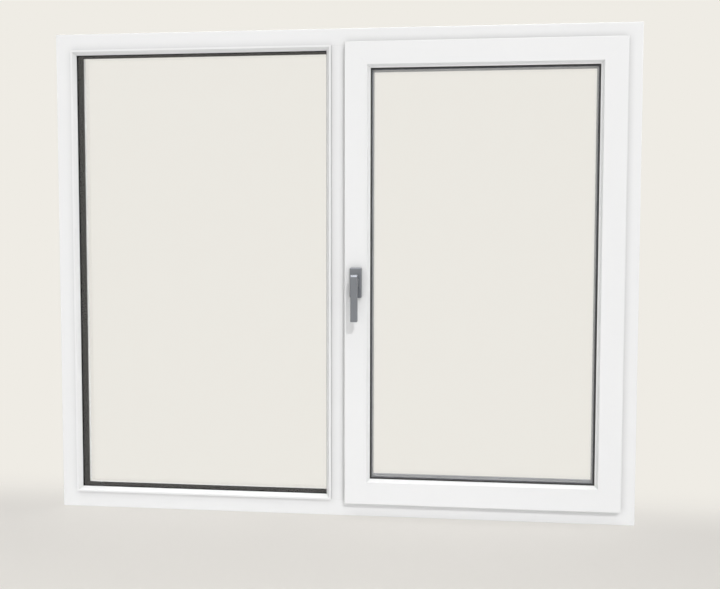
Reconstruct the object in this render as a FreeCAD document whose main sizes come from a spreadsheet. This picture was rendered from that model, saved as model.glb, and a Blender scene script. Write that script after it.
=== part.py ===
"""Tilt and turn window of white PVC, in two lights: a fixed one glazed straight into
the frame, and a sash with a lever handle. Millimetres. X runs along the width, Y from
the room to the street and Z up. The origin is on the frame's underside, in the middle
of its width and depth.
"""
import FreeCAD, Part
import os
import Sketcher

Vector = FreeCAD.Vector

# Driving sizes: name, value, meaning. A profile's height runs from the outer edge of
# its frame or sash towards the glass, and its depth from the room to the street.
SIZES = [
    ("window_width", 1500, "outside width of the frame"),
    ("window_height", 1250, "outside height of the frame"),
    ("mullion_centre", 750, "left outer edge to the middle of the mullion"),
    ("frame_depth", 76, "depth of the frame, mullion included"),
    ("face_height", 42, "room face of a frame member"),
    ("mullion_face", 42, "room face of the mullion"),
    ("rebate_step", 4, "edge of the frame's room face down to its rebate floor"),
    ("leg_thickness", 22, "street leg of the frame"),
    ("leg_rise", 12, "street leg above the edge of the frame's room face"),
    ("leg_fall", 3, "slope of every street leg's top, towards the street"),
    ("wall_groove_width", 8, "fixing groove in the frame's outer edge"),
    ("wall_groove_depth", 3, "depth of the fixing groove"),
    ("wall_groove_spacing", 32, "between the middles of the two fixing grooves"),
    ("edge_round", 2.5, "rounding of the room face's outer edge"),
    ("back_round", 1, "rounding of the sash flange's back edge"),
    ("drain_width", 30, "drainage slot in the sill"),
    ("drain_height", 5, "height of the drainage slot"),
    ("drain_depth", 12, "depth of the drainage slot, inside the leg"),
    ("drain_level", 24, "underside of the sill to the middle of the slot"),
    ("drain_corner", 155, "outer corner of each light to the middle of a slot"),
    ("pane_thickness", 4, "one sheet of glass"),
    ("glass_gap", 5, "rebate floor to the edge of the glass"),
    ("edge_seal_height", 5, "sealant outside the spacer"),
    ("spacer_height", 8, "spacer bar between two sheets of glass"),
    ("gasket_thickness", 3, "gasket on each side of the glass"),
    ("gasket_lip", 0.5, "fixed light's room gasket past its bead"),
    ("sash_gasket_lip", 3.5, "sash's room gasket past its bead"),
    ("block_length", 100, "setting block under the glass"),
    ("block_corner", 80, "corner of the glass to the setting block"),
    ("bead_proud", 8.5, "fixed light's bead in front of the frame's room face"),
    ("bead_rise", 12.5, "fixed light's bead, edge of the face to its tip"),
    ("bead_nose", 4.5, "upright front of the fixed light's bead"),
    ("sash_bead_depth", 10, "room face of the sash to the back of its bead"),
    ("sash_bead_rise", 9, "sash's bead, edge of the face to its tip"),
    ("sash_bead_nose", 1, "upright front of the sash's bead"),
    ("sash_bead_lip", 2.4, "steep lip at the tip of the sash's bead"),
    ("sash_bead_lip_lean", 0.8, "lean of that lip towards the room"),
    ("bead_tip", 1.5, "flat at the tip of a bead"),
    ("bead_shelf", 4, "edge of the face to the underside of the room gasket"),
    ("bead_clip", 1.4, "thickness of the leg that clips a bead in"),
    ("bead_clip_drop", 3, "the clip leg below the edge of the face"),
    ("bead_glass_gap", 0.6, "clip leg to the glass"),
    ("bead_round", 1, "rounding of a bead's tip"),
    ("sash_overlap", 5, "sash flange over the frame's room face"),
    ("flange_thickness", 18, "sash flange in front of the frame"),
    ("seal_gap", 4, "sash to frame, where the weather seals are"),
    ("seal_width", 3, "width of the weather seal under the flange"),
    ("stop_seal_width", 4, "width of the weather seal at the frame's leg"),
    ("seal_edge", 1, "edge of the sash flange or body to its weather seal"),
    ("gear_gap", 10, "rebate floor of the frame to the body of the sash"),
    ("gear_groove_width", 12, "groove for the locking gear in the sash's edge"),
    ("gear_groove_depth", 5, "depth of the gear groove"),
    ("sash_face", 56, "room face of a sash member"),
    ("sash_rebate_step", 3.5, "edge of the sash's room face to its rebate floor"),
    ("sash_leg_thickness", 12, "street leg of the sash"),
    ("sash_leg_rise", 8, "street leg above the edge of the sash's room face"),
    ("handle_height", 608, "underside of the frame to the handle's axis"),
    ("handle_offset", 1.5, "middle of the stile to the handle's axis"),
    ("rose_width", 30, "handle rose"),
    ("rose_height", 76, "height of the handle rose"),
    ("rose_depth", 10, "thickness of the handle rose"),
    ("rose_corner", 3, "rounding of the rose's corners"),
    ("rose_round", 2, "rounding of the rose's front edge"),
    ("neck_diameter", 16, "round neck of the lever in the rose"),
    ("neck_seat", 5.7, "neck inside the rose"),
    ("neck_play", 0.1, "clearance round the neck"),
    ("end_play", 0.3, "clearance behind the neck"),
    ("rose_air", 2, "rose to the square part of the lever's neck"),
    ("neck_height", 20, "square part of the lever's neck"),
    ("lever_width", 17.5, "width of the lever"),
    ("lever_thickness", 13, "thickness of the grip"),
    ("lever_projection", 45, "sash face to the front of the grip"),
    ("lever_above", 22, "handle's axis to the top of the lever"),
    ("lever_below", 97, "handle's axis to the end of the grip"),
    ("lever_bend", 8, "rounding at the top of the lever and behind its neck"),
    ("lever_round", 2, "rounding of the lever's long edges"),
    ("spindle_size", 7, "square spindle"),
    ("spindle_play", 0.1, "clearance on each side of the spindle in the lever"),
    ("spindle_socket", 20, "socket for the spindle in the lever"),
    ("spindle_reach", 25, "spindle behind the sash face"),
    ("spindle_bore", 12, "bore round the spindle in the rose and the stile"),
    ("bore_depth", 30, "depth of the spindle's bore in the stile"),
]

# Planes across the depth of the window, as expressions of the driving sizes.
FRAME_ROOM = "(-sizes.frame_depth / 2)"
FRAME_STREET = "(sizes.frame_depth / 2)"
FRAME_LEG = f"({FRAME_STREET} - sizes.leg_thickness)"
FLANGE_BACK = f"({FRAME_ROOM} - sizes.seal_gap)"
SASH_ROOM = f"({FLANGE_BACK} - sizes.flange_thickness)"
SASH_STREET = f"({FRAME_LEG} - sizes.seal_gap)"
SASH_LEG = f"({SASH_STREET} - sizes.sash_leg_thickness)"
UNIT_DEPTH = (f"({SASH_LEG} - {SASH_ROOM} - sizes.sash_bead_depth"
              " - 2 * sizes.gasket_thickness)")
CAVITY_DEPTH = f"(({UNIT_DEPTH} - 3 * sizes.pane_thickness) / 2)"

# Heights across a profile, from the outer edge of the frame or of the sash.
REBATE_FLOOR = "(sizes.face_height - sizes.rebate_step)"
SASH_FLOOR = "(sizes.sash_face - sizes.sash_rebate_step)"
SASH_EDGE = "(sizes.face_height - sizes.sash_overlap)"
SASH_BODY = f"({REBATE_FLOOR} + sizes.gear_gap - {SASH_EDGE})"

# The two lights: the rectangle that their profiles' heights are measured from.
FIXED_WIDTH = "(sizes.mullion_centre - sizes.mullion_face / 2 + sizes.face_height)"
OPENING_WIDTH = ("(sizes.window_width - sizes.mullion_centre - sizes.mullion_face / 2"
                 " + sizes.face_height)")
FIXED_MIDDLE = f"({FIXED_WIDTH} / 2 - sizes.window_width / 2)"
SASH_MIDDLE = f"(sizes.window_width / 2 - {OPENING_WIDTH} / 2)"
SASH_WIDTH = f"({OPENING_WIDTH} - 2 * {SASH_EDGE})"
SASH_HEIGHT = f"(sizes.window_height - 2 * {SASH_EDGE})"
MIDDLE_HEIGHT = "(sizes.window_height / 2)"
HANDLE_X = (f"({SASH_MIDDLE} - {SASH_WIDTH} / 2 + sizes.sash_face / 2"
            " + sizes.handle_offset)")

WHOLE_FRAME = ("0", "sizes.window_width", "sizes.window_height")
FIXED_LIGHT = (FIXED_MIDDLE, FIXED_WIDTH, "sizes.window_height")
SASH_LIGHT = (SASH_MIDDLE, SASH_WIDTH, SASH_HEIGHT)

doc = FreeCAD.newDocument("tilt_and_turn_window")
parts = []


def make_sheet():
    """Write the driving sizes into the document's spreadsheet."""
    sheet = doc.addObject("Spreadsheet::Sheet", "sizes")
    for row, (alias, value, meaning) in enumerate(SIZES, start=1):
        sheet.set(f"A{row}", meaning)
        sheet.set(f"B{row}", str(value))
        sheet.setAlias(f"B{row}", alias)
    doc.recompute()
    return sheet


sheet = make_sheet()


def value_of(expression):
    """The number that an expression of the driving sizes gives."""
    return float(sheet.evalExpression(expression))


def new_body(label):
    """An empty body that becomes one sub-part."""
    body = doc.addObject("PartDesign::Body", label)
    parts.append(body)
    return body


def new_sketch(body, name, role):
    """A sketch on one of the body's own origin planes."""
    sketch = body.newObject("Sketcher::SketchObject", name)
    plane = next(item for item in body.Origin.OriginFeatures if item.Role == role)
    sketch.AttachmentSupport = (plane, [""])
    sketch.MapMode = "FlatFace"
    return sketch


def hold_point(sketch, geometry, point, x, y):
    """Tie one point of a sketch to a pair of expressions."""
    for kind, expression in (("DistanceX", x), ("DistanceY", y)):
        value = value_of(expression)
        constraint = Sketcher.Constraint(kind, -1, 1, geometry, point, value)
        index = sketch.addConstraint(constraint)
        sketch.setExpression(f"Constraints[{index}]", expression)


def draw_outline(sketch, points):
    """Draw a closed outline whose corners are pairs of expressions."""
    first = sketch.GeometryCount
    corners = [Vector(value_of(x), value_of(y), 0) for x, y in points]
    for start, end in zip(corners, corners[1:] + corners[:1]):
        sketch.addGeometry(Part.LineSegment(start, end), False)
    for index, (x, y) in enumerate(points):
        following = first + (index + 1) % len(points)
        joined = Sketcher.Constraint("Coincident", first + index, 2, following, 1)
        sketch.addConstraint(joined)
        hold_point(sketch, first + index, 1, x, y)


def draw_rectangle(sketch, left, right, low, high):
    """Draw a rectangle between four expressions."""
    draw_outline(sketch, [(left, low), (right, low), (right, high), (left, high)])


def draw_circle(sketch, x, y, diameter):
    """Draw a circle at a pair of expressions."""
    middle = Vector(value_of(x), value_of(y), 0)
    circle = Part.Circle(middle, Vector(0, 0, 1), value_of(diameter) / 2)
    index = sketch.addGeometry(circle, False)
    hold_point(sketch, index, 3, x, y)
    width = Sketcher.Constraint("Diameter", index, value_of(diameter))
    sketch.setExpression(f"Constraints[{sketch.addConstraint(width)}]", diameter)


def pad(body, sketch, length, sides="One side"):
    """Extrude a sketch."""
    feature = body.newObject("PartDesign::Pad", sketch.Name + "_pad")
    feature.Profile = sketch
    feature.SideType = sides
    feature.setExpression("Length", length)
    doc.recompute()
    return feature


def pocket(body, sketch, length=None, away=False):
    """Cut a sketch out of a body, right through it where no length is given."""
    before = body.Shape.Volume
    feature = body.newObject("PartDesign::Pocket", sketch.Name + "_pocket")
    feature.Profile = sketch
    feature.Reversed = away
    if length is None:
        feature.Type = "ThroughAll"
        feature.SideType = "Symmetric"
    else:
        feature.setExpression("Length", length)
    doc.recompute()
    if not body.Shape.Volume < before:
        raise RuntimeError(f"{feature.Name} cuts nothing")
    return feature


def round_edges(body, radius, picks):
    """Fillet the edges of a body that a test picks."""
    base = body.Tip
    names = [f"Edge{number}" for number, edge in enumerate(base.Shape.Edges, start=1)
             if picks(edge)]
    feature = body.newObject("PartDesign::Fillet", f"{body.Name}_round_{len(body.Group)}")
    feature.Base = (base, names)
    feature.setExpression("Radius", radius)
    doc.recompute()
    return feature


def near(value, expression):
    """Whether a coordinate lies on the plane that an expression gives."""
    return abs(value - value_of(expression)) < 0.01


def spans(edge, axis):
    """Whether an edge runs along an axis, x, y or z, from one end to the other."""
    first, last = edge.Vertexes[0].Point, edge.Vertexes[-1].Point
    return abs(getattr(first, axis) - getattr(last, axis)) > 0.01


def all_ends(edge, test):
    """Whether both ends of an edge pass a test."""
    return all(test(vertex.Point) for vertex in edge.Vertexes)


def along(y, z):
    """A test for the long edges of a bar that run at one depth and height."""
    at_line = lambda point: near(point.y, y) and near(point.z, z)
    return lambda edge: all_ends(edge, at_line)


def place(item, x="0", y="0", z="0", turn=0):
    """Put a part at three expressions, turned about Y by an angle in degrees."""
    item.Placement = FreeCAD.Placement(Vector(), FreeCAD.Rotation(Vector(0, 1, 0), turn))
    for axis, expression in zip("xyz", (x, y, z)):
        item.setExpression(f"Placement.Base.{axis}", expression)
    doc.recompute()


def cut_mitres(body, length, top):
    """Cut both ends of a bar at 45 degrees, so that its outer edge keeps its length."""
    sketch = new_sketch(body, body.Name + "_mitres", "XZ_Plane")
    half = f"({length} / 2)"
    for side in ("1", "-1"):
        corners = [(f"{half} - {top}", top), (f"{half} + {top}", top),
                   (f"{half} + {top}", f"-{top}")]
        draw_outline(sketch, [(f"{side} * ({x})", z) for x, z in corners])
    pocket(body, sketch)


def mitred_bar(label, section, length, top, rounds):
    """A bar along X with a section in depth and height, and mitred ends."""
    body = new_body(label)
    sketch = new_sketch(body, label + "_section", "YZ_Plane")
    draw_outline(sketch, section)
    pad(body, sketch, length, "Symmetric")
    for radius, y, z in rounds:
        round_edges(body, radius, along(y, z))
    cut_mitres(body, length, top)
    return body


def mitred_frame(labels, section, light, top, rounds):
    """Four mitred bars round a light: bottom, top, left and right."""
    middle, width, height = light
    sides = (
        (width, middle, f"{MIDDLE_HEIGHT} - {height} / 2", 0),
        (width, middle, f"{MIDDLE_HEIGHT} + {height} / 2", 180),
        (height, f"{middle} - {width} / 2", MIDDLE_HEIGHT, 90),
        (height, f"{middle} + {width} / 2", MIDDLE_HEIGHT, -90),
    )
    bars = []
    for label, (length, x, z, turn) in zip(labels, sides):
        bar = mitred_bar(label, section, length, top, rounds)
        place(bar, x, "0", z, turn)
        bars.append(bar)
    return bars


def sheet_of(label, light, edge, room, thickness, hollow=None):
    """A plate that fills a light inside its edge, or a ring where hollow is given."""
    middle, width, height = light
    body = new_body(label)
    sketch = new_sketch(body, label + "_outline", "XZ_Plane")
    for inset in (edge, hollow):
        if inset is not None:
            across = f"({width} / 2 - {inset})"
            up = f"({height} / 2 - {inset})"
            draw_rectangle(sketch, f"-{across}", across, f"-{up}", up)
    pad(body, sketch, thickness)
    place(body, middle, f"{room} + {thickness}", MIDDLE_HEIGHT)
    return body


def frame_section():
    """Frame profile: room face, bead ledge, rebate floor and street leg."""
    ledge = bead_seat(FRAME_LEG)
    leg_top = "(sizes.face_height + sizes.leg_rise)"
    points = [
        (FRAME_ROOM, "0"),
        (FRAME_ROOM, "sizes.face_height"),
        (ledge, "sizes.face_height"),
        (ledge, REBATE_FLOOR),
        (FRAME_LEG, REBATE_FLOOR),
        (FRAME_LEG, leg_top),
        (FRAME_STREET, f"{leg_top} - sizes.leg_fall"),
        (FRAME_STREET, "0"),
    ]
    for side in ("1", "-1"):
        middle = f"{side} * sizes.wall_groove_spacing / 2"
        street = f"{middle} + sizes.wall_groove_width / 2"
        room = f"{middle} - sizes.wall_groove_width / 2"
        points += [(street, "0"), (street, "sizes.wall_groove_depth"),
                   (room, "sizes.wall_groove_depth"), (room, "0")]
    return points, leg_top


def sash_section():
    """Sash profile: room face with its flange, gear groove, rebate and street leg."""
    ledge = bead_seat(SASH_LEG)
    leg_top = "(sizes.sash_face + sizes.sash_leg_rise)"
    gear = f"(({FLANGE_BACK} + {SASH_STREET}) / 2)"
    groove = f"({SASH_BODY} + sizes.gear_groove_depth)"
    points = [
        (SASH_ROOM, "0"),
        (SASH_ROOM, "sizes.sash_face"),
        (ledge, "sizes.sash_face"),
        (ledge, SASH_FLOOR),
        (SASH_LEG, SASH_FLOOR),
        (SASH_LEG, leg_top),
        (SASH_STREET, f"{leg_top} - sizes.leg_fall"),
        (SASH_STREET, SASH_BODY),
        (f"{gear} + sizes.gear_groove_width / 2", SASH_BODY),
        (f"{gear} + sizes.gear_groove_width / 2", groove),
        (f"{gear} - sizes.gear_groove_width / 2", groove),
        (f"{gear} - sizes.gear_groove_width / 2", SASH_BODY),
        (FLANGE_BACK, SASH_BODY),
        (FLANGE_BACK, "0"),
    ]
    return points, leg_top


def unit_room(leg):
    """Depth of the glass unit's room side, from the street leg that it leans on."""
    return f"({leg} - sizes.gasket_thickness - {UNIT_DEPTH})"


def bead_seat(leg):
    """Depth of the step that a bead clips behind."""
    return f"({unit_room(leg)} - sizes.bead_glass_gap - sizes.bead_clip)"


def bead_section(leg, face, rise, front):
    """Glazing bead: the points of its front, its tip, the gasket's shelf and the clip."""
    back = f"({unit_room(leg)} - sizes.gasket_thickness)"
    seat = bead_seat(leg)
    clip = f"({seat} + sizes.bead_clip)"
    return front + [
        (f"{back} - sizes.bead_tip", f"{face} + {rise}"),
        (back, f"{face} + {rise}"),
        (back, f"{face} + sizes.bead_shelf"),
        (clip, f"{face} + sizes.bead_shelf"),
        (clip, f"{face} - sizes.bead_clip_drop"),
        (seat, f"{face} - sizes.bead_clip_drop"),
        (seat, face),
    ]


def make_outer_frame():
    """The four mitred members of the frame, with drainage slots in the sill."""
    section, top = frame_section()
    labels = ("frame_sill", "frame_head", "frame_left_jamb", "frame_right_jamb")
    rounds = [("sizes.edge_round", FRAME_ROOM, "0")]
    sill, head, left, right = mitred_frame(labels, section, WHOLE_FRAME, top, rounds)
    cut_drains(sill)
    return sill, head


def cut_drains(sill):
    """Two drainage slots for each light, in the street face of the sill."""
    sketch = new_sketch(sill, "drains", "XZ_Plane")
    sketch.setExpression("AttachmentOffset.Base.z", f"-{FRAME_STREET}")
    for middle, width in ((FIXED_MIDDLE, FIXED_WIDTH), (SASH_MIDDLE, OPENING_WIDTH)):
        for side in ("1", "-1"):
            centre = f"{middle} + {side} * ({width} / 2 - sizes.drain_corner)"
            draw_rectangle(sketch, f"{centre} - sizes.drain_width / 2",
                           f"{centre} + sizes.drain_width / 2",
                           "sizes.drain_level - sizes.drain_height / 2",
                           "sizes.drain_level + sizes.drain_height / 2")
    pocket(sill, sketch, "sizes.drain_depth", away=True)


def make_mullion(sill, head):
    """The upright between the lights, with ends milled to the frame's profile."""
    ledge = bead_seat(FRAME_LEG)
    face = "(sizes.mullion_face / 2)"
    floor = f"({face} - sizes.rebate_step)"
    leg = f"({face} + sizes.leg_rise)"
    half = [(FRAME_ROOM, face), (ledge, face), (ledge, floor), (FRAME_LEG, floor),
            (FRAME_LEG, leg), (FRAME_STREET, f"{leg} - sizes.leg_fall")]
    other_half = [(y, f"-({x})") for y, x in reversed(half)]
    bar = doc.addObject("PartDesign::Body", "mullion_bar")
    sketch = new_sketch(bar, "mullion_section", "XY_Plane")
    draw_outline(sketch, [(x, y) for y, x in half + other_half])
    inside = "sizes.face_height / 2"
    pad(bar, sketch, f"sizes.window_height - 2 * {inside}")
    place(bar, "sizes.mullion_centre - sizes.window_width / 2", "0", inside)
    ends = doc.addObject("Part::MultiFuse", "mullion_ends")
    ends.Shapes = [sill, head]
    mullion = doc.addObject("Part::Cut", "mullion")
    mullion.Base = bar
    mullion.Tool = ends
    doc.recompute()
    parts.append(mullion)


def make_beads(prefix, light, leg, face, rise, front):
    """Four mitred glazing beads round one light."""
    section = bead_section(leg, face, rise, front)
    back = f"({unit_room(leg)} - sizes.gasket_thickness)"
    rounds = [("sizes.bead_round", f"{back} - sizes.bead_tip", f"{face} + {rise}")]
    labels = [f"{prefix}_{side}" for side in ("bottom", "top", "left", "right")]
    mitred_frame(labels, section, light, f"({face} + {rise})", rounds)


def make_glass_unit(prefix, light, leg, floor):
    """Three panes with two spacer bars and the sealant at their edge."""
    edge = f"({floor} + sizes.glass_gap)"
    spacer_outside = f"({edge} + sizes.edge_seal_height)"
    spacer_inside = f"({spacer_outside} + sizes.spacer_height)"
    pitch = f"(sizes.pane_thickness + {CAVITY_DEPTH})"
    for step, name in enumerate(("room", "middle", "street")):
        room = f"{unit_room(leg)} + {step} * {pitch}"
        sheet_of(f"{prefix}_{name}_pane", light, edge, room, "sizes.pane_thickness")
    for step, name in enumerate(("room", "street")):
        room = f"{unit_room(leg)} + {step} * {pitch} + sizes.pane_thickness"
        sheet_of(f"{prefix}_{name}_spacer", light, spacer_outside, room,
                 CAVITY_DEPTH, spacer_inside)
        sheet_of(f"{prefix}_{name}_edge_seal", light, edge, room,
                 CAVITY_DEPTH, spacer_outside)


def make_gaskets(prefix, light, leg, face, rise, lip, leg_top):
    """The gaskets that hold the glass, between bead and leg."""
    seat = f"({face} + sizes.bead_shelf)"
    back = f"({unit_room(leg)} - sizes.gasket_thickness)"
    sheet_of(f"{prefix}_bead_gasket", light, seat, back, "sizes.gasket_thickness",
             f"({face} + {rise} + {lip})")
    sheet_of(f"{prefix}_outer_gasket", light, seat, f"({leg} - sizes.gasket_thickness)",
             "sizes.gasket_thickness", leg_top)


def make_setting_blocks(label, light, leg, floor):
    """Two blocks that carry the glass on the rebate floor."""
    middle, width, height = light
    half_glass = f"({width} / 2 - {floor} - sizes.glass_gap)"
    inset = f"({half_glass} - sizes.block_corner - sizes.block_length / 2)"
    blocks = []
    for side, name in (("-1", "left"), ("1", "right")):
        block = doc.addObject("Part::Box", f"{label}_{name}")
        block.setExpression("Length", "sizes.block_length")
        block.setExpression("Width", UNIT_DEPTH)
        block.setExpression("Height", "sizes.glass_gap")
        place(block, f"{middle} + {side} * {inset} - sizes.block_length / 2",
              unit_room(leg), f"{MIDDLE_HEIGHT} - {height} / 2 + {floor}")
        blocks.append(block)
    pair = doc.addObject("Part::Compound", label)
    pair.Links = blocks
    doc.recompute()
    parts.append(pair)


def make_fixed_light():
    """The light that is glazed straight into the frame."""
    face = "sizes.face_height"
    leg_top = frame_section()[1]
    nose = f"({FRAME_ROOM} - sizes.bead_proud)"
    front = [(nose, face), (nose, f"{face} + sizes.bead_nose")]
    make_beads("fixed_bead", FIXED_LIGHT, FRAME_LEG, face, "sizes.bead_rise", front)
    make_glass_unit("fixed", FIXED_LIGHT, FRAME_LEG, REBATE_FLOOR)
    make_gaskets("fixed", FIXED_LIGHT, FRAME_LEG, face, "sizes.bead_rise",
                 "sizes.gasket_lip", leg_top)
    make_setting_blocks("fixed_setting_blocks", FIXED_LIGHT, FRAME_LEG, REBATE_FLOOR)


def make_sash():
    """The sash that turns and tilts, with its glass and its weather seals."""
    face = "sizes.sash_face"
    section, leg_top = sash_section()
    labels = ("sash_bottom_rail", "sash_top_rail", "sash_handle_stile",
              "sash_hinge_stile")
    rounds = [("sizes.edge_round", SASH_ROOM, "0"), ("sizes.back_round", FLANGE_BACK, "0")]
    members = mitred_frame(labels, section, SASH_LIGHT, leg_top, rounds)
    bore_stile(members[2])
    tip = f"({unit_room(SASH_LEG)} - sizes.gasket_thickness - sizes.bead_tip)"
    front = [(SASH_ROOM, face), (SASH_ROOM, f"{face} + sizes.sash_bead_nose"),
             (f"{tip} - sizes.sash_bead_lip_lean",
              f"{face} + sizes.sash_bead_rise - sizes.sash_bead_lip")]
    make_beads("sash_bead", SASH_LIGHT, SASH_LEG, face, "sizes.sash_bead_rise", front)
    make_glass_unit("sash", SASH_LIGHT, SASH_LEG, SASH_FLOOR)
    make_gaskets("sash", SASH_LIGHT, SASH_LEG, face, "sizes.sash_bead_rise",
                 "sizes.sash_gasket_lip", leg_top)
    make_setting_blocks("sash_setting_blocks", SASH_LIGHT, SASH_LEG, SASH_FLOOR)
    stop = f"({SASH_BODY} + sizes.seal_edge)"
    sheet_of("sash_overlap_seal", SASH_LIGHT, "sizes.seal_edge", FLANGE_BACK,
             "sizes.seal_gap", "(sizes.seal_edge + sizes.seal_width)")
    sheet_of("sash_stop_seal", SASH_LIGHT, stop, SASH_STREET,
             "sizes.seal_gap", f"({stop} + sizes.stop_seal_width)")


def bore_stile(stile):
    """The bore for the handle's spindle, from the room face of the stile."""
    sketch = new_sketch(stile, "spindle_bore_circle", "XZ_Plane")
    sketch.setExpression("AttachmentOffset.Base.z", f"-{SASH_ROOM}")
    draw_circle(sketch, f"{MIDDLE_HEIGHT} - sizes.handle_height",
                "sizes.sash_face / 2 + sizes.handle_offset", "sizes.spindle_bore")
    pocket(stile, sketch, "sizes.bore_depth")


def make_rose():
    """The handle's rose, with the seat of the lever's neck bored into it."""
    body = new_body("handle_rose")
    outline = new_sketch(body, "rose_outline", "XZ_Plane")
    across = "sizes.rose_width / 2"
    up = "sizes.rose_height / 2"
    draw_rectangle(outline, f"-{across}", across, f"-{up}", up)
    pad(body, outline, "sizes.rose_depth")
    round_edges(body, "sizes.rose_corner", lambda edge: spans(edge, "y"))
    at_front = lambda point: near(point.y, "-sizes.rose_depth")
    round_edges(body, "sizes.rose_round", lambda edge: all_ends(edge, at_front))
    bores = (("sizes.neck_diameter + 2 * sizes.neck_play",
              "sizes.neck_seat + sizes.end_play", "neck_seat"),
             ("sizes.spindle_bore", "sizes.rose_depth", "spindle_way"))
    for diameter, depth, name in bores:
        sketch = new_sketch(body, name + "_circle", "XZ_Plane")
        sketch.setExpression("AttachmentOffset.Base.z", "sizes.rose_depth")
        draw_circle(sketch, "0", "0", diameter)
        pocket(body, sketch, depth)
    place(body, HANDLE_X, SASH_ROOM, "sizes.handle_height")


def make_lever():
    """The lever: a round neck in the rose, a square neck, a bend and the grip."""
    body = new_body("handle_lever")
    front = "(-sizes.lever_projection)"
    back = f"({front} + sizes.lever_thickness)"
    neck = "(-sizes.rose_depth - sizes.rose_air)"
    up = "(sizes.neck_height / 2)"
    side = new_sketch(body, "lever_side", "YZ_Plane")
    draw_outline(side, [
        (neck, f"-{up}"),
        (neck, up),
        (back, up),
        (back, "sizes.lever_above"),
        (front, "sizes.lever_above"),
        (front, "-sizes.lever_below"),
        (back, "-sizes.lever_below"),
        (back, f"-{up}"),
    ])
    pad(body, side, "sizes.lever_width", "Symmetric")
    bends = ((front, "sizes.lever_above"), (back, f"-{up}"))
    for y, z in bends:
        round_edges(body, "sizes.lever_bend", along(y, z))
    reach = value_of(back) + 0.01
    on_rim = lambda point: near(abs(point.x), "sizes.lever_width / 2") and point.y < reach
    round_edges(body, "sizes.lever_round",
                lambda edge: all_ends(edge, on_rim) and not spans(edge, "x"))
    stub = new_sketch(body, "neck_circle", "XZ_Plane")
    stub.setExpression("AttachmentOffset.Base.z", "sizes.rose_depth - sizes.neck_seat")
    draw_circle(stub, "0", "0", "sizes.neck_diameter")
    pad(body, stub, "sizes.neck_seat + sizes.rose_air")
    socket = new_sketch(body, "spindle_socket_outline", "XZ_Plane")
    socket.setExpression("AttachmentOffset.Base.z",
                         "sizes.rose_depth - sizes.neck_seat + sizes.spindle_socket")
    wall = "(sizes.spindle_size / 2 + sizes.spindle_play)"
    draw_rectangle(socket, f"-{wall}", wall, f"-{wall}", wall)
    pocket(body, socket, "sizes.spindle_socket")
    place(body, HANDLE_X, SASH_ROOM, "sizes.handle_height")


def make_spindle():
    """The square spindle, from its socket in the lever into the stile."""
    spindle = doc.addObject("Part::Box", "handle_spindle")
    tip = "(sizes.rose_depth - sizes.neck_seat + sizes.spindle_socket)"
    spindle.setExpression("Length", "sizes.spindle_size")
    spindle.setExpression("Width", f"{tip} + sizes.spindle_reach")
    spindle.setExpression("Height", "sizes.spindle_size")
    place(spindle, f"{HANDLE_X} - sizes.spindle_size / 2", f"{SASH_ROOM} - {tip}",
          "sizes.handle_height - sizes.spindle_size / 2")
    parts.append(spindle)


def check_document():
    """Stop where an object has failed or a sub-part has no valid solid."""
    doc.recompute()
    for item in doc.Objects:
        if "Invalid" in item.State or "Error" in item.State:
            raise RuntimeError(f"{item.Label} failed: {item.State}")
    for item in parts:
        if item.Shape.isNull() or not item.Shape.isValid() or not item.Shape.Solids:
            raise RuntimeError(f"{item.Label} has no valid solid")


def write_steps():
    """Write each sub-part to a file named after its label."""
    os.makedirs("parts", exist_ok=True)
    for item in parts:
        item.Shape.exportStep(f"parts/{item.Label}.step")
        print(f"{item.Label}: {len(item.Shape.Solids)} solids, {item.Shape.Volume:.0f} mm3")


frame_sill, frame_head = make_outer_frame()
make_mullion(frame_sill, frame_head)
make_fixed_light()
make_sash()
make_rose()
make_lever()
make_spindle()
check_document()
write_steps()
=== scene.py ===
"""Dresses the tilt and turn window: its materials and edges, the studio and the camera.

Metres, in the frame's own axes: X along the width, Y from the room to the street, Z up.
"""
import math

import bmesh
import bpy
from bpy.props import FloatProperty, FloatVectorProperty, PointerProperty
from mathutils import Matrix, Vector


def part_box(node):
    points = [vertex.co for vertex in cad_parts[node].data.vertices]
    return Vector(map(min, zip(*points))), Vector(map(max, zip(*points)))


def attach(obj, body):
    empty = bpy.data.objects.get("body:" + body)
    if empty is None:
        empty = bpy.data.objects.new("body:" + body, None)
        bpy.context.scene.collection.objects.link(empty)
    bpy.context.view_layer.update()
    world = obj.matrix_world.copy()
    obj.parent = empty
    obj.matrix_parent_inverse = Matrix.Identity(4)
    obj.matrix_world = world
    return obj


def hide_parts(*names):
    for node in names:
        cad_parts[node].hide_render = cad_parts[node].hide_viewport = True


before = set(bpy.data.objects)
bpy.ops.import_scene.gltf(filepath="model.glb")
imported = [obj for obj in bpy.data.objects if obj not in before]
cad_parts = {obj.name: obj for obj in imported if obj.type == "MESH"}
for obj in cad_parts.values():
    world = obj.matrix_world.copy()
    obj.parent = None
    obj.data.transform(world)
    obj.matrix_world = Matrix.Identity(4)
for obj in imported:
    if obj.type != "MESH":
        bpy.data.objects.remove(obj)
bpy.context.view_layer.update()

bl_info = {
    "name": "Tilt and Turn Window",
    "version": (1, 0, 0),
    "blender": (4, 5, 0),
    "location": "View3D > Sidebar > Window",
    "description": "Finishes a white two-light window and sets up its studio",
    "category": "Object",
}

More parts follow.
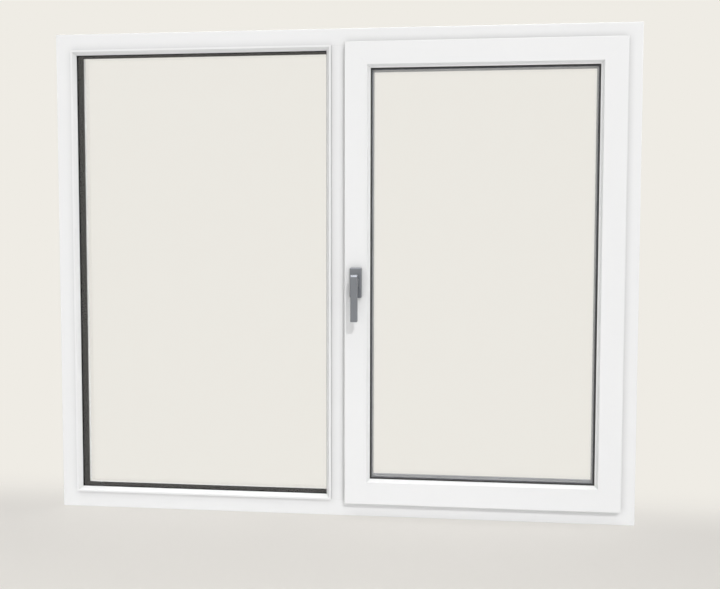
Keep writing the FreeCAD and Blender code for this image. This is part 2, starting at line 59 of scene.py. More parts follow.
MM = 0.001
X, Y, Z = range(3)
DRAW_STRETCH = 200  # a draw line's length, in its own widths
WELD_TONE = -0.03  # how much darker the cleaned seam is
WELD_FALL = -8  # how much lower it lies, in draw lines' heights
CORNER_SHADE_TONE = 0.79  # how bright the white stays deep in a corner, where shade is painted
CREASE_SHADE_TONE = 0.6  # how bright it stays in a narrow crease, where a darker line of shade is painted
SLOT_SHADE = -0.6  # how much darker a vent slot is than its bar, a painted shade inside the hole
SLOT_HALF = 0.5 * MM  # half of a vent slot's width
MERGE = 0.001 * MM  # corners of a mesh nearer than this are one
SHARP = math.radians(40)  # an edge that turns by more than this is rounded
SIDES = ("bottom", "top", "left", "right")
FRAME_ACROSS = ("frame_sill", "frame_head")
FRAME_UPRIGHT = ("frame_left_jamb", "frame_right_jamb")
SASH_ACROSS = ("sash_bottom_rail", "sash_top_rail")
SASH_UPRIGHT = ("sash_handle_stile", "sash_hinge_stile")
LIGHTS = ("fixed", "sash")
GLASS = [f"{light}_{place}_pane" for light in LIGHTS
         for place in ("room", "middle", "street")]

WHITE = (1, 1, 1, 1)

# Directions in which the two lamps shine.
KEY_TOWARDS = (-0.39, 1, -0.745)
TOP_TOWARDS = (-0.05, 0.35, -1)

# Where the floor's look changes, in metres. The first three are places along Y, and the
# other two are distances, from the middle of the window's foot and from its plane. The
# first fade, the ahead fade and the far fade bound the darker tone painted round the
# window's foot, a painted shade. The return fade dims the light that the floor gives back
# near the window, a painted shade on the window's foot.
PAINTED_SHADE_FADE = (0.4, -0.15)
SHADOW_FADE = (0.15, -0.1)
AHEAD_FADE = (-1.5, -0.2)
FAR_FADE = (1.2, 4)
RETURN_FADE = (0, 0.8)

# How many soft patches of tone or grain a metre of each material has.
PVC_CLOUDS = 9
RUBBER_BLOOM = 60
POLYPROPYLENE_CLOUDS = 90
SPACER_GRAIN = 400
BRUSH_MARKS = (3000, 60, 3000)


def linear(hex_colour):
    """Linear red, green and blue of an sRGB hex colour."""
    channels = [int(hex_colour[i:i + 2], 16) / 255 for i in (1, 3, 5)]
    return tuple(c / 12.92 if c <= 0.04045 else ((c + 0.055) / 1.055) ** 2.4
                 for c in channels)


def colour(name, description, default):
    """A colour property with an sRGB hex default."""
    return FloatVectorProperty(name=name, description=description, subtype="COLOR",
                               size=3, min=0, max=1, default=linear(default))


def length(name, description, millimetres):
    """A length property with a default in millimetres."""
    return FloatProperty(name=name, description=description, unit="LENGTH",
                         default=millimetres * MM, min=0, precision=5)


class WindowColours(bpy.types.PropertyGroup):
    """Colours of the window's finishes."""
    pvc: colour("PVC", "White of the extruded profiles", "#f2f2f2")
    rubber: colour("Rubber", "Black of the glazing gaskets", "#2a2a2b")
    seal: colour("Weather seal", "Dark grey of the seals between sash and frame", "#3c3d3e")
    dark_spacer: colour("Dark spacer", "Spacer bars of the fixed light", "#131314")
    grey_spacer: colour("Grey spacer", "Spacer bars of the sash", "#83868e")
    sealant: colour("Sealant", "Edge seal of the glass units", "#1c1c1d")
    block: colour("Setting block", "Plastic blocks under the glass", "#3f6f8c")
    handle: colour("Handle", "Anodised finish of the handle", "#83868c")
    steel: colour("Spindle", "Zinc plating of the spindle", "#b9bbbd")
    page: colour("Background", "Pale backdrop and far floor", "#efece5")
    # Painted shade: the darker tone painted on the floor round the window's foot.
    floor: colour("Floor", "Floor in front of the window", "#e2dfda")


class WindowSizes(bpy.types.PropertyGroup):
    """Sizes of the finish and of the studio."""
    profile_edge: length("Profile edge", "Rounding of the extruded profiles' edges", 0.4)
    gasket_edge: length("Gasket edge", "Rounding of the gaskets' lips", 0.9)
    handle_edge: length("Handle edge", "Rounding of the handle's last sharp edges", 0.3)
    weld: length("Weld seam", "Width of the cleaned seam at a welded corner", 0.8)
    # Painted shade: how far the darkened line in a narrow crease reaches.
    crease: length("Crease", "How far the dark line in a crease reaches", 3)
    draw_line: length("Draw line", "Spacing of the faint lines that extrusion leaves", 2.5)
    gasket_lip: length("Gasket lip", "How far the outer gasket stands past its leg", 1.8)
    bed: length("Bed", "How far a spacer bar is pressed into its panes", 0.04)
    perforation: length("Perforation", "Spacing of the vent slots in a spacer bar", 3)
    blasted_grain: length("Blasted grain", "Grain of the handle's blasted skin", 0.7)
    floor_size: length("Floor", "Side of the studio floor", 60000)
    camera_place: FloatVectorProperty(
        name="Camera", description="Where the camera stands", subtype="TRANSLATION",
        size=3, default=(0.3624, -2.5773, 0.7373))
    camera_turn: FloatVectorProperty(
        name="Camera turn", description="Tilt, roll and swing of the camera",
        subtype="EULER", size=3,
        default=(math.radians(86.403), math.radians(-0.1), math.radians(6.944)))
    camera_lens: FloatProperty(
        name="Lens", description="Focal length on a 36 mm wide sensor", default=50,
        subtype="DISTANCE_CAMERA")
    key_strength: FloatProperty(
        name="Key light", description="Strength of the key light", default=0.95, min=0)
    key_angle: FloatProperty(
        name="Key softness", description="Width of the key light as the window sees it",
        default=math.radians(2), subtype="ANGLE")
    floor_shadow: FloatProperty(
        name="Floor shadow", description="How strongly the floor shows its shadow",
        default=0.45, min=0, max=1)
    floor_return: FloatProperty(
        name="Floor return", description="Light that the lit floor adds to what it gives back",
        default=0.2, min=0)
    room_light: FloatProperty(
        name="Room light", description="Even light from all round", default=0.44, min=0)
    soft_box: FloatProperty(
        name="Soft box", description="Brightness that gloss sees overhead", default=4,
        min=0)
    top_strength: FloatProperty(
        name="Top light", description="Strength of the wide light overhead",
        default=0.6, min=0)
    top_angle: FloatProperty(
        name="Top softness", description="Width of the overhead light",
        default=math.radians(30), subtype="ANGLE")
    # Painted shade: how far the darkening reaches out of a corner.
    shade_reach: length("Corner reach", "How far dust reaches out of a corner", 20)


def colours():
    """The scene's colour settings."""
    return bpy.context.scene.window_colours


def sizes():
    """The scene's size settings."""
    return bpy.context.scene.window_sizes


def new_material(name):
    """A material with an empty node tree."""
    material = bpy.data.materials.new(name)
    material.use_nodes = True
    material.node_tree.nodes.clear()
    return material


def add_node(tree, kind, links=(), **settings):
    """Add a node, set its properties and sockets, and link its inputs.

    A setting that names a property sets it, and any other names an input socket, with
    underscores for spaces. Links pair an input's name or number with an output socket.
    """
    node = tree.nodes.new(kind)
    for name, value in settings.items():
        if hasattr(node, name):
            setattr(node, name, value)
        elif name.startswith("input_"):
            node.inputs[int(name.removeprefix("input_"))].default_value = value
        else:
            node.inputs[name.replace("_", " ")].default_value = value
    for socket, source in links:
        tree.links.new(source, node.inputs[socket])
    return node


def finish_output(tree, shader):
    """Link a shader to the material's output."""
    add_node(tree, "ShaderNodeOutputMaterial", [("Surface", shader)])


def object_axes(tree):
    """The three object coordinates as sockets, and the whole vector."""
    place = add_node(tree, "ShaderNodeTexCoord").outputs["Object"]
    split = add_node(tree, "ShaderNodeSeparateXYZ", [(0, place)])
    return split.outputs, place


def weld_mask(tree, box):
    """A socket that is 1 on the mitre lines of a rectangle in the wall's plane.

    A point on such a line lies as far from the nearer side as from the nearer end.
    """
    axes, _ = object_axes(tree)
    insides = []
    for axis in (X, Z):
        middle = (box[0][axis] + box[1][axis]) / 2
        half = (box[1][axis] - box[0][axis]) / 2
        off = add_node(tree, "ShaderNodeMath", [(0, axes[axis])], operation="SUBTRACT",
                       input_1=middle)
        away = add_node(tree, "ShaderNodeMath", [(0, off.outputs[0])],
                        operation="ABSOLUTE")
        inside = add_node(tree, "ShaderNodeMath", [(1, away.outputs[0])],
                          operation="SUBTRACT", input_0=half)
        insides.append(inside.outputs[0])
    gap = add_node(tree, "ShaderNodeMath", [(0, insides[0]), (1, insides[1])],
                   operation="SUBTRACT")
    away = add_node(tree, "ShaderNodeMath", [(0, gap.outputs[0])], operation="ABSOLUTE")
    mask = add_node(tree, "ShaderNodeMapRange", [(0, away.outputs[0])],
                    interpolation_type="SMOOTHSTEP", From_Min=0,
                    From_Max=sizes().weld / 2, To_Min=1, To_Max=0)
    return mask.outputs[0]


def corner_shade(tree):
    """A socket that is 1 in the open and falls deep in a corner, and more in a crease.

    It is painted shade: the colour darkens where ambient occlusion finds a corner, as next to
    a raised bead or sash, and darker still in a narrow crease. The lowest part, which stands
    on the floor, is left unshaded.
    """
    shelter = add_node(tree, "ShaderNodeAmbientOcclusion", Distance=sizes().shade_reach,
                       samples=12)
    axes, _ = object_axes(tree)
    low = add_node(tree, "ShaderNodeMapRange", [(0, axes[Z])],
                   From_Min=sizes().shade_reach, From_Max=2 * sizes().shade_reach,
                   To_Min=1, To_Max=0)
    open_air = add_node(tree, "ShaderNodeMath", [(0, shelter.outputs["AO"]),
                                                 (1, low.outputs[0])],
                        operation="MAXIMUM")
    corner_shading = add_node(tree, "ShaderNodeMapRange", [(0, open_air.outputs[0])],
                     From_Min=0.45, From_Max=1, To_Min=CORNER_SHADE_TONE, To_Max=1)
    narrow = add_node(tree, "ShaderNodeAmbientOcclusion", Distance=sizes().crease,
                      samples=8)
    flat = add_node(tree, "ShaderNodeMath", [(0, narrow.outputs["AO"]),
                                             (1, low.outputs[0])], operation="MAXIMUM")
    line = add_node(tree, "ShaderNodeMapRange", [(0, flat.outputs[0])],
                    From_Min=0.45, From_Max=0.8, To_Min=CREASE_SHADE_TONE, To_Max=1)
    both = add_node(tree, "ShaderNodeMath", [(0, corner_shading.outputs[0]), (1, line.outputs[0])],
                    operation="MULTIPLY")
    return both.outputs[0]


def pvc_material(name, along, box=None):
    """Extruded rigid PVC, white and satin.

    Extrusion leaves faint lines along the profile, which stretch its reflections, and
    the eye sees an even white with soft highlights on the rounded edges. At a welded
    corner the cleaned seam shows as a hairline. Along is the axis that the profile runs
    on. Box is the outline whose corners are welded, as lowest and highest corner.
    """
    material = new_material(name)
    tree = material.node_tree
    _, place = object_axes(tree)
    scale = [1 / sizes().draw_line] * 3
    scale[along] /= DRAW_STRETCH
    stretched = add_node(tree, "ShaderNodeMapping", [(0, place)], Scale=scale)
    lines = add_node(tree, "ShaderNodeTexNoise", [("Vector", stretched.outputs[0])],
                     Scale=1, Detail=2)
    cloud = add_node(tree, "ShaderNodeTexNoise", [("Vector", place)],
                     Scale=PVC_CLOUDS, Detail=3)
    tint = add_node(tree, "ShaderNodeMapRange", [(0, cloud.outputs[0])],
                    To_Min=0.985, To_Max=1.0)
    # Painted shade: the tint is darkened in corners and creases.
    shaded_tint = add_node(tree, "ShaderNodeMath", [(0, tint.outputs[0]),
                                              (1, corner_shade(tree))],
                     operation="MULTIPLY")
    shade = shaded_tint.outputs[0]
    height = lines.outputs[0]
    if box:
        weld = weld_mask(tree, box)
        darker = add_node(tree, "ShaderNodeMath", [(0, weld), (2, shade)],
                          operation="MULTIPLY_ADD", input_1=WELD_TONE)
        shade = darker.outputs[0]
        lower = add_node(tree, "ShaderNodeMath", [(0, weld), (2, height)],
                         operation="MULTIPLY_ADD", input_1=WELD_FALL)
        height = lower.outputs[0]
    base = add_node(tree, "ShaderNodeVectorMath", [("Scale", shade)], operation="SCALE",
                    input_0=tuple(colours().pvc))
    roughness = add_node(tree, "ShaderNodeMapRange", [(0, cloud.outputs[0])],
                         To_Min=0.34, To_Max=0.42)
    bump = add_node(tree, "ShaderNodeBump", [("Height", height)],
                    Strength=0.25, Distance=0.01 * MM)
    pvc = add_node(tree, "ShaderNodeBsdfPrincipled", [
        ("Base Color", base.outputs[0]), ("Roughness", roughness.outputs[0]),
        ("Normal", bump.outputs[0])], IOR=1.53)
    finish_output(tree, pvc.outputs[0])
    return material


def rubber_material(name, tint, grain=0.4):
    """Extruded EPDM rubber: matt and nearly black, with a soft bloom on the surface.

    Grain is the size of its pores in millimetres.
    """
    material = new_material(name)
    tree = material.node_tree
    _, place = object_axes(tree)
    bloom = add_node(tree, "ShaderNodeTexNoise", [("Vector", place)],
                     Scale=RUBBER_BLOOM, Detail=3)
    shade = add_node(tree, "ShaderNodeMapRange", [(0, bloom.outputs[0])],
                     To_Min=0.85, To_Max=1.15)
    base = add_node(tree, "ShaderNodeVectorMath", [("Scale", shade.outputs[0])],
                    operation="SCALE", input_0=tuple(tint))
    pores = add_node(tree, "ShaderNodeTexNoise", [("Vector", place)],
                     Scale=1 / (grain * MM), Detail=2)
    bump = add_node(tree, "ShaderNodeBump", [("Height", pores.outputs[0])],
                    Strength=0.4, Distance=0.03 * MM)
    rubber = add_node(tree, "ShaderNodeBsdfPrincipled", [
        ("Base Color", base.outputs[0]), ("Normal", bump.outputs[0])],
        Roughness=0.62, IOR=1.5)
    finish_output(tree, rubber.outputs[0])
    return material


def glass_material():
    """Clear float glass, fire polished: seen by its reflections and a trace of green.

    Lamps shine through it, so that it throws no dark shadow.
    """
    material = new_material("clear float glass")
    tree = material.node_tree
    glass = add_node(tree, "ShaderNodeBsdfPrincipled", Base_Color=(0.989, 0.99, 0.99, 1),
                     Roughness=0, IOR=1.52, Transmission_Weight=1,
                     Specular_IOR_Level=0.05)
    clear = add_node(tree, "ShaderNodeBsdfTransparent", Color=(0.97, 0.98, 0.975, 1))
    ray = add_node(tree, "ShaderNodeLightPath")
    mix = add_node(tree, "ShaderNodeMixShader", [
        (0, ray.outputs["Is Shadow Ray"]), (1, glass.outputs[0]), (2, clear.outputs[0])])
    finish_output(tree, mix.outputs[0])
    return material


def vent_slots(tree, node):
    """A socket that is 1 on the row of vent slots in a spacer bar, and 0 round them.

    The slots let the drying beads inside the bar reach the air between the panes, and
    run along the middle of the bar's inner face.
    """
    low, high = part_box(node)
    axes, _ = object_axes(tree)
    normal = add_node(tree, "ShaderNodeTexCoord").outputs["Normal"]
    facing = add_node(tree, "ShaderNodeSeparateXYZ", [(0, normal)])
    flat = add_node(tree, "ShaderNodeMath", [(0, facing.outputs[Z])], operation="ABSOLUTE")
    run = add_node(tree, "ShaderNodeMix", [(0, flat.outputs[0]), (2, axes[Z]),
                                           (3, axes[X])], data_type="FLOAT")
    beat = add_node(tree, "ShaderNodeMath", [(0, run.outputs[0])], operation="PINGPONG",
                    input_1=sizes().perforation / 2)
    slot = add_node(tree, "ShaderNodeMath", [(0, beat.outputs[0])],
                    operation="LESS_THAN", input_1=sizes().perforation / 4)
    off = add_node(tree, "ShaderNodeMath", [(0, axes[Y])], operation="SUBTRACT",
                   input_1=(low[Y] + high[Y]) / 2)
    away = add_node(tree, "ShaderNodeMath", [(0, off.outputs[0])], operation="ABSOLUTE")
    row = add_node(tree, "ShaderNodeMath", [(0, away.outputs[0])],
                   operation="LESS_THAN", input_1=SLOT_HALF)
    vent = add_node(tree, "ShaderNodeMath", [(0, slot.outputs[0]), (1, row.outputs[0])],
                    operation="MULTIPLY")
    return vent.outputs[0]


def spacer_material(name, tint, node, **finish):
    """Spacer bar with its row of vent slots and a faint mottle.

    The fixed light has a matt, nearly black bar of glass-filled plastic. The sash has a
    roll-formed steel bar with a satin skin, which mirrors the room in soft greys.
    """
    material = new_material(name)
    tree = material.node_tree
    _, place = object_axes(tree)
    grain = add_node(tree, "ShaderNodeTexNoise", [("Vector", place)],
                     Scale=SPACER_GRAIN, Detail=2)
    tone = add_node(tree, "ShaderNodeMapRange", [(0, grain.outputs[0])],
                    To_Min=0.92, To_Max=1.08)
    # Painted shade: the vent slots are drawn darker than the bar, as the shade inside the
    # holes.
    shade = add_node(tree, "ShaderNodeMath", [(0, vent_slots(tree, node)),
                                              (2, tone.outputs[0])],
                     operation="MULTIPLY_ADD", input_1=SLOT_SHADE)
    base = add_node(tree, "ShaderNodeVectorMath", [("Scale", shade.outputs[0])],
                    operation="SCALE", input_0=tuple(tint))
    bar = add_node(tree, "ShaderNodeBsdfPrincipled", [("Base Color", base.outputs[0])],
                   **finish)
    finish_output(tree, bar.outputs[0])
    return material


def handle_material():
    """Aluminium, finely blasted and anodised in titanium grey, satin.

    The dyed oxide skin scatters half of the light and the metal under it mirrors the room
    softly, so that the rounded edges carry a bright line of top light.
    """
    material = new_material("anodised aluminium, titanium grey")
    tree = material.node_tree
    _, place = object_axes(tree)
    grain = add_node(tree, "ShaderNodeTexNoise", [("Vector", place)],
                     Scale=1 / sizes().blasted_grain, Detail=2)
    tone = add_node(tree, "ShaderNodeMapRange", [(0, grain.outputs[0])],
                    To_Min=0.95, To_Max=1.05)
    base = add_node(tree, "ShaderNodeVectorMath", [("Scale", tone.outputs[0])],
                    operation="SCALE", input_0=tuple(colours().handle))
    roughness = add_node(tree, "ShaderNodeMapRange", [(0, grain.outputs[0])],
                         To_Min=0.28, To_Max=0.36)
    bump = add_node(tree, "ShaderNodeBump", [("Height", grain.outputs[0])],
                    Strength=0.3, Distance=0.01 * MM)
    metal = add_node(tree, "ShaderNodeBsdfPrincipled", [
        ("Base Color", base.outputs[0]), ("Roughness", roughness.outputs[0]),
        ("Normal", bump.outputs[0])], Metallic=0.5)
    finish_output(tree, metal.outputs[0])
    return material


def plated_material():
    """Zinc-plated steel: bright and brushed along its length, for the spindle."""
    material = new_material("zinc plated steel")
    tree = material.node_tree
    _, place = object_axes(tree)
    drawn = add_node(tree, "ShaderNodeMapping", [(0, place)], Scale=BRUSH_MARKS)
    marks = add_node(tree, "ShaderNodeTexNoise", [("Vector", drawn.outputs[0])], Scale=1)
    roughness = add_node(tree, "ShaderNodeMapRange", [(0, marks.outputs[0])],
                         To_Min=0.25, To_Max=0.45)
    steel = add_node(tree, "ShaderNodeBsdfPrincipled", [
        ("Roughness", roughness.outputs[0])],
        Base_Color=(*colours().steel, 1), Metallic=1)
    finish_output(tree, steel.outputs[0])
    return material


def block_material():
    """Moulded polypropylene of the setting blocks, slightly waxy."""
    material = new_material("moulded polypropylene")
    tree = material.node_tree
    _, place = object_axes(tree)
    cloud = add_node(tree, "ShaderNodeTexNoise", [("Vector", place)],
                     Scale=POLYPROPYLENE_CLOUDS)
    roughness = add_node(tree, "ShaderNodeMapRange", [(0, cloud.outputs[0])],
                         To_Min=0.4, To_Max=0.5)
    plastic = add_node(tree, "ShaderNodeBsdfPrincipled", [
        ("Roughness", roughness.outputs[0])],
        Base_Color=(*colours().block, 1), IOR=1.49)
    finish_output(tree, plastic.outputs[0])
    return material


def dress(node, material, **finish):
    """Give a CAD node its material and the finish that dress_piece takes."""
    dress_piece(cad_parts[node], material, **finish)


def dress_piece(piece, material, edge=0.0, segments=2, bed=0.0):
    """Give a piece its material, and round its sharp edges where a size is given.

    A bed presses a bar that far into the panes on its two sides, because two faces in
    one plane would show the bar's inside through the glass.
    """
    piece.data.materials.clear()
    piece.data.materials.append(material)
    if edge or bed:
        weld = piece.modifiers.new("weld", "WELD")
        weld.merge_threshold = MERGE
    if bed:
        press = piece.modifiers.new("bed", "DISPLACE")
        press.mid_level = 0
        press.strength = bed
        press.direction = "NORMAL"
    if edge:
        bevel = piece.modifiers.new("edge", "BEVEL")
        bevel.width = edge
        bevel.segments = segments
        bevel.limit_method = "ANGLE"
        bevel.angle_limit = SHARP
        bevel.use_clamp_overlap = True


def add_object(name, data):
    """A new object with that data, linked to the scene."""
    item = bpy.data.objects.new(name, data)
    bpy.context.scene.collection.objects.link(item)
    return item


def lipped_gasket(node, name, lip):
    """A glazing gasket whose free edge stands further out over the glass.

    It is the CAD ring with its four inner corners drawn in, and takes the ring's place.
    """
    low, high = (Vector(corner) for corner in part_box(node))
    middle = (low + high) / 2
    work = bmesh.new()
    work.from_mesh(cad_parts[node].data)
    bmesh.ops.remove_doubles(work, verts=work.verts, dist=MERGE)
    inner = [vert for vert in work.verts if low.x + MM < vert.co.x < high.x - MM]
    reach = inner[0].co - middle
    bmesh.ops.scale(work, verts=inner, space=Matrix.Translation(-middle),
                    vec=(1 - lip / abs(reach.x), 1, 1 - lip / abs(reach.z)))
    mesh = bpy.data.meshes.new(name)
    work.to_mesh(mesh)
    work.free()
    piece = add_object(name, mesh)
    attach(piece, "window")
    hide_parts(node)
    return piece


def joined_box(nodes):
    """Lowest and highest corner of several nodes together."""
    boxes = [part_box(node) for node in nodes]
    low = [min(box[0][axis] for box in boxes) for axis in range(3)]
    high = [max(box[1][axis] for box in boxes) for axis in range(3)]
    return low, high


def bead_names(light, across):
    """The beads of a light that run across it, or those that stand upright."""
    return [f"{light}_bead_{side}" for side in (SIDES[:2] if across else SIDES[2:])]


class WINDOW_OT_frame(bpy.types.Operator):
    """Finish the frame's four members and the mullion in white PVC"""
    bl_idname = "window.frame"
    bl_label = "Frame and mullion"

    def execute(self, context):
        box = joined_box(FRAME_ACROSS)
        edge = sizes().profile_edge
        across = pvc_material("extruded PVC across, frame", X, box)
        upright = pvc_material("extruded PVC upright, frame", Z, box)
        for node in FRAME_ACROSS:
            dress(node, across, edge=edge)
        for node in FRAME_UPRIGHT:
            dress(node, upright, edge=edge)
        dress("mullion", pvc_material("extruded PVC upright, mullion", Z), edge=edge)
        return {"FINISHED"}


class WINDOW_OT_sash(bpy.types.Operator):
    """Finish the sash's rails and stiles in white PVC"""
    bl_idname = "window.sash"
    bl_label = "Sash"

    def execute(self, context):
        box = joined_box(SASH_ACROSS)
        across = pvc_material("extruded PVC across, sash", X, box)
        upright = pvc_material("extruded PVC upright, sash", Z, box)
        for node in SASH_ACROSS:
            dress(node, across, edge=sizes().profile_edge)
        for node in SASH_UPRIGHT:
            dress(node, upright, edge=sizes().profile_edge)
        return {"FINISHED"}


class WINDOW_OT_beads(bpy.types.Operator):
    """Finish the glazing beads of both lights in white PVC"""
    bl_idname = "window.beads"
    bl_label = "Glazing beads"

    def execute(self, context):
        across = pvc_material("extruded PVC across, bead", X)
        upright = pvc_material("extruded PVC upright, bead", Z)
        for light in LIGHTS:
            for node in bead_names(light, True):
                dress(node, across, edge=sizes().profile_edge / 2)
            for node in bead_names(light, False):
                dress(node, upright, edge=sizes().profile_edge / 2)
        return {"FINISHED"}


class WINDOW_OT_glass(bpy.types.Operator):
    """Finish the panes in clear float glass, with their spacers and edge seals"""
    bl_idname = "window.glass"
    bl_label = "Glass units"

    def execute(self, context):
        glass = glass_material()
        for node in GLASS:
            dress(node, glass)
        sealant = rubber_material("butyl sealant", colours().sealant, grain=1.5)
        plastic = {"Roughness": 0.8, "IOR": 1.5, "Specular_IOR_Level": 0.0}
        steel = {"Roughness": 0.35, "Metallic": 1}
        for place in ("room", "street"):
            dark, grey = f"fixed_{place}_spacer", f"sash_{place}_spacer"
            dress(dark, spacer_material(f"glass-filled plastic, {place} bar",
                                        colours().dark_spacer, dark, **plastic),
                  bed=sizes().bed)
            dress(grey, spacer_material(f"satin steel, {place} bar",
                                        colours().grey_spacer, grey, **steel),
                  bed=sizes().bed)
            for light in LIGHTS:
                dress(f"{light}_{place}_edge_seal", sealant)
        blocks = block_material()
        for light in LIGHTS:
            dress(f"{light}_setting_blocks", blocks, edge=sizes().profile_edge)
        return {"FINISHED"}


class WINDOW_OT_gaskets(bpy.types.Operator):
    """Finish the glazing gaskets and the weather seals in rubber"""
    bl_idname = "window.gaskets"
    bl_label = "Gaskets and seals"

    def execute(self, context):
        rubber = rubber_material("black EPDM rubber", colours().rubber)
        finish = {"edge": sizes().gasket_edge, "segments": 3}
        for node in ("fixed_bead_gasket", "sash_bead_gasket", "sash_outer_gasket"):
            dress(node, rubber, **finish)
        lipped = lipped_gasket("fixed_outer_gasket", "fixed_lipped_gasket",
                               sizes().gasket_lip)
        dress_piece(lipped, rubber, **finish)
        seal = rubber_material("grey EPDM rubber", colours().seal)
        for node in ("sash_overlap_seal", "sash_stop_seal"):
            dress(node, seal, **finish)
        return {"FINISHED"}


class WINDOW_OT_handle(bpy.types.Operator):
    """Finish the handle's rose, lever and spindle"""
    bl_idname = "window.handle"
    bl_label = "Handle"

    def execute(self, context):
        metal = handle_material()
        for node in ("handle_rose", "handle_lever"):
            dress(node, metal, edge=sizes().handle_edge)
        dress("handle_spindle", plated_material(), edge=sizes().handle_edge)
        return {"FINISHED"}


def seen_rays(tree):
    """A socket that is 1 for rays from the camera, from gloss and through glass."""
    ray = add_node(tree, "ShaderNodeLightPath")
    seen = ray.outputs["Is Camera Ray"]
    for name in ("Is Glossy Ray", "Is Transmission Ray"):
        either = add_node(tree, "ShaderNodeMath", [(0, seen), (1, ray.outputs[name])],
                          operation="MAXIMUM")
        seen = either.outputs[0]
    return seen


def floor_material():
    """Matt studio paper: a pale floor that keeps the window's soft shadow.

    It is painted a darker tone round the window's foot, mostly in front of it, a painted
    shade, and runs out into the backdrop's colour, so that no horizon shows. Gloss sees only
    that colour, and the light that the floor gives back doesn't depend on its tone.
    """
    material = new_material("matt studio paper")
    tree = material.node_tree
    axes, place = object_axes(tree)
    room_side = add_node(tree, "ShaderNodeMapRange", [(0, axes[Y])], clamp=True,
                         interpolation_type="SMOOTHERSTEP", From_Min=PAINTED_SHADE_FADE[0],
                         From_Max=PAINTED_SHADE_FADE[1])
    away = add_node(tree, "ShaderNodeVectorMath", [(0, place)], operation="LENGTH")
    close = add_node(tree, "ShaderNodeMapRange", [(0, away.outputs["Value"])], clamp=True,
                     interpolation_type="SMOOTHSTEP", From_Min=FAR_FADE[0],
                     From_Max=FAR_FADE[1], To_Min=1, To_Max=0)
    ahead = add_node(tree, "ShaderNodeMapRange", [(0, axes[Y])], clamp=True,
                     interpolation_type="SMOOTHSTEP", From_Min=AHEAD_FADE[0],
                     From_Max=AHEAD_FADE[1])
    shade_patch = add_node(tree, "ShaderNodeMath", [(0, close.outputs[0]),
                                              (1, ahead.outputs[0])], operation="MULTIPLY")
    ray = add_node(tree, "ShaderNodeLightPath")
    plain_gloss = add_node(tree, "ShaderNodeMath", [(1, ray.outputs["Is Glossy Ray"])],
                           operation="SUBTRACT", input_0=1)
    shown = add_node(tree, "ShaderNodeMath", [(0, shade_patch.outputs[0]),
                                              (1, plain_gloss.outputs[0])],
                     operation="MULTIPLY")
    # Painted shade: where the floor takes the darker tone.
    painted_shade = add_node(tree, "ShaderNodeMath", [(0, room_side.outputs[0]),
                                             (1, shown.outputs[0])], operation="MULTIPLY")
    tone = add_node(tree, "ShaderNodeMix", [(0, painted_shade.outputs[0])], data_type="RGBA",
                    input_6=(*colours().page, 1), input_7=(*colours().floor, 1))
    front = add_node(tree, "ShaderNodeMapRange", [(0, axes[Y])], clamp=True,
                     From_Min=SHADOW_FADE[0], From_Max=SHADOW_FADE[1],
                     To_Min=0, To_Max=sizes().floor_shadow)
    shadow = add_node(tree, "ShaderNodeMath", [(0, front.outputs[0]),
                                               (1, shown.outputs[0])],
                      operation="MULTIPLY")
    plain = add_node(tree, "ShaderNodeMath", [(1, shadow.outputs[0])],
                     operation="SUBTRACT", input_0=1)
    paper = add_node(tree, "ShaderNodeBsdfDiffuse", [("Color", tone.outputs[2])])
    glow = add_node(tree, "ShaderNodeEmission", [("Color", tone.outputs[2])])
    seen = add_node(tree, "ShaderNodeMixShader", [
        (0, plain.outputs[0]), (1, paper.outputs[0]), (2, glow.outputs[0])])
    # What the floor gives back to other rays: its white is dimmer near the window, a painted
    # shade on the window's foot, and it glows a little, a painted glow that adds light.
    apart = add_node(tree, "ShaderNodeMath", [(0, axes[Y])], operation="ABSOLUTE")
    albedo = add_node(tree, "ShaderNodeMapRange", [(0, apart.outputs[0])], clamp=True,
                      interpolation_type="SMOOTHSTEP", From_Min=RETURN_FADE[0],
                      From_Max=RETURN_FADE[1], To_Min=0.78, To_Max=0.95)
    white = add_node(tree, "ShaderNodeBsdfDiffuse", [("Color", albedo.outputs[0])])
    floor_glow = add_node(tree, "ShaderNodeEmission", Strength=sizes().floor_return)
    given = add_node(tree, "ShaderNodeAddShader", [(0, white.outputs[0]),
                                                   (1, floor_glow.outputs[0])])
    mix = add_node(tree, "ShaderNodeMixShader", [
        (0, seen_rays(tree)), (1, given.outputs[0]), (2, seen.outputs[0])])
    finish_output(tree, mix.outputs[0])
    return material


def set_world():
    """Even light from all round, with the backdrop's colour where it is seen.

    Gloss sees a bright soft box overhead, which draws the light lines along edges.
    """
    world = bpy.data.worlds.new("studio")
    bpy.context.scene.world = world
    world.use_nodes = True
    tree = world.node_tree
    tree.nodes.clear()
    light = add_node(tree, "ShaderNodeBackground", Strength=sizes().room_light,
                     input_0=WHITE)
    page = add_node(tree, "ShaderNodeBackground", Strength=1,
                    input_0=(*colours().page, 1))
    mix = add_node(tree, "ShaderNodeMixShader", [
        (0, seen_rays(tree)), (1, light.outputs[0]), (2, page.outputs[0])])
    axes, _ = object_axes(tree)
    above = add_node(tree, "ShaderNodeMapRange", [(0, axes[Z])], clamp=True,
                     interpolation_type="SMOOTHSTEP", From_Min=0.4, From_Max=0.7)
    ray = add_node(tree, "ShaderNodeLightPath")
    gloss = add_node(tree, "ShaderNodeMath", [(0, above.outputs[0]),
                                              (1, ray.outputs["Is Glossy Ray"])],
                     operation="MULTIPLY")
    box = add_node(tree, "ShaderNodeBackground", Strength=sizes().soft_box,
                   input_0=WHITE)
    studio = add_node(tree, "ShaderNodeMixShader", [
        (0, gloss.outputs[0]), (1, mix.outputs[0]), (2, box.outputs[0])])
    add_node(tree, "ShaderNodeOutputWorld", [("Surface", studio.outputs[0])])


def add_floor():
    """The studio floor, level with the underside of the window."""
    mesh = bpy.data.meshes.new("floor")
    work = bmesh.new()
    bmesh.ops.create_grid(work, x_segments=1, y_segments=1, size=sizes().floor_size / 2)
    work.to_mesh(mesh)
    work.free()
    mesh.materials.append(floor_material())
    floor = add_object("floor", mesh)


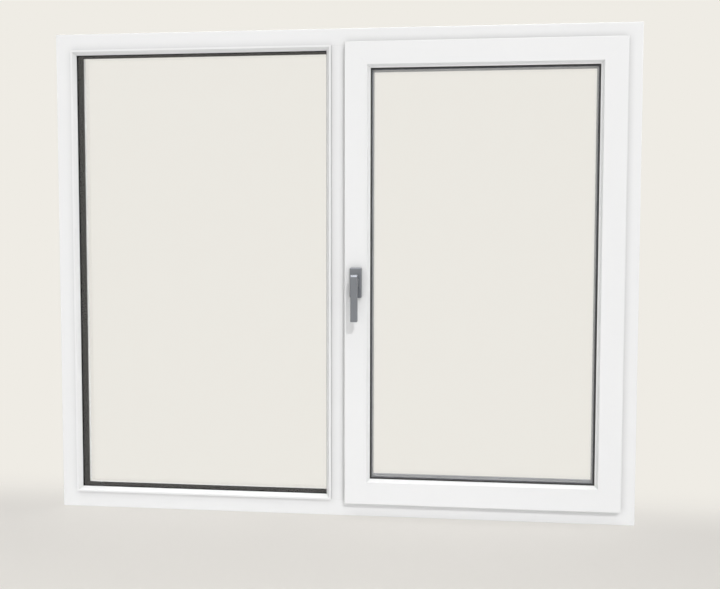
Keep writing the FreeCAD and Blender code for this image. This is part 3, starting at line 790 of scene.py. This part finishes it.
def add_sun(name, towards, strength, angle):
    """A lamp far away, which shines along a direction."""
    lamp = bpy.data.lights.new(name, "SUN")
    lamp.energy = strength
    lamp.angle = angle
    item = add_object(name, lamp)
    item.rotation_euler = Vector(towards).to_track_quat("-Z", "Y").to_euler()


class WINDOW_OT_stage(bpy.types.Operator):
    """Set up the floor, the light and the camera"""
    bl_idname = "window.stage"
    bl_label = "Studio and camera"

    def execute(self, context):
        scene = context.scene
        scene.view_settings.view_transform = "Standard"
        set_world()
        add_floor()
        add_sun("key", KEY_TOWARDS, sizes().key_strength, sizes().key_angle)
        add_sun("overhead", TOP_TOWARDS, sizes().top_strength, sizes().top_angle)
        data = bpy.data.cameras.new("camera")
        data.lens = sizes().camera_lens
        camera = add_object("camera", data)
        camera.location = sizes().camera_place
        camera.rotation_euler = sizes().camera_turn
        scene.camera = camera
        return {"FINISHED"}


STEPS = (WINDOW_OT_frame, WINDOW_OT_sash, WINDOW_OT_beads, WINDOW_OT_glass,
         WINDOW_OT_gaskets, WINDOW_OT_handle, WINDOW_OT_stage)


class WINDOW_PT_panel(bpy.types.Panel):
    """The window's settings and steps"""
    bl_idname = "WINDOW_PT_panel"
    bl_label = "Tilt and turn window"
    bl_space_type = "VIEW_3D"
    bl_region_type = "UI"
    bl_category = "Window"

    def draw(self, context):
        layout = self.layout
        for settings in (context.scene.window_colours, context.scene.window_sizes):
            for name in settings.__annotations__:
                layout.prop(settings, name)
        for step in STEPS:
            layout.operator(step.bl_idname)


CLASSES = (WindowColours, WindowSizes, *STEPS, WINDOW_PT_panel)


def register():
    """Register the classes and hang the settings on the scene."""
    for item in CLASSES:
        bpy.utils.register_class(item)
    bpy.types.Scene.window_colours = PointerProperty(type=WindowColours)
    bpy.types.Scene.window_sizes = PointerProperty(type=WindowSizes)


def unregister():
    """Take the settings and the classes away again."""
    del bpy.types.Scene.window_sizes
    del bpy.types.Scene.window_colours
    for item in reversed(CLASSES):
        bpy.utils.unregister_class(item)


def main():
    """Register the classes and run every step in order."""
    register()
    for step in STEPS:
        group, name = step.bl_idname.split(".")
        getattr(getattr(bpy.ops, group), name)()


if __name__ == "__main__":
    main()
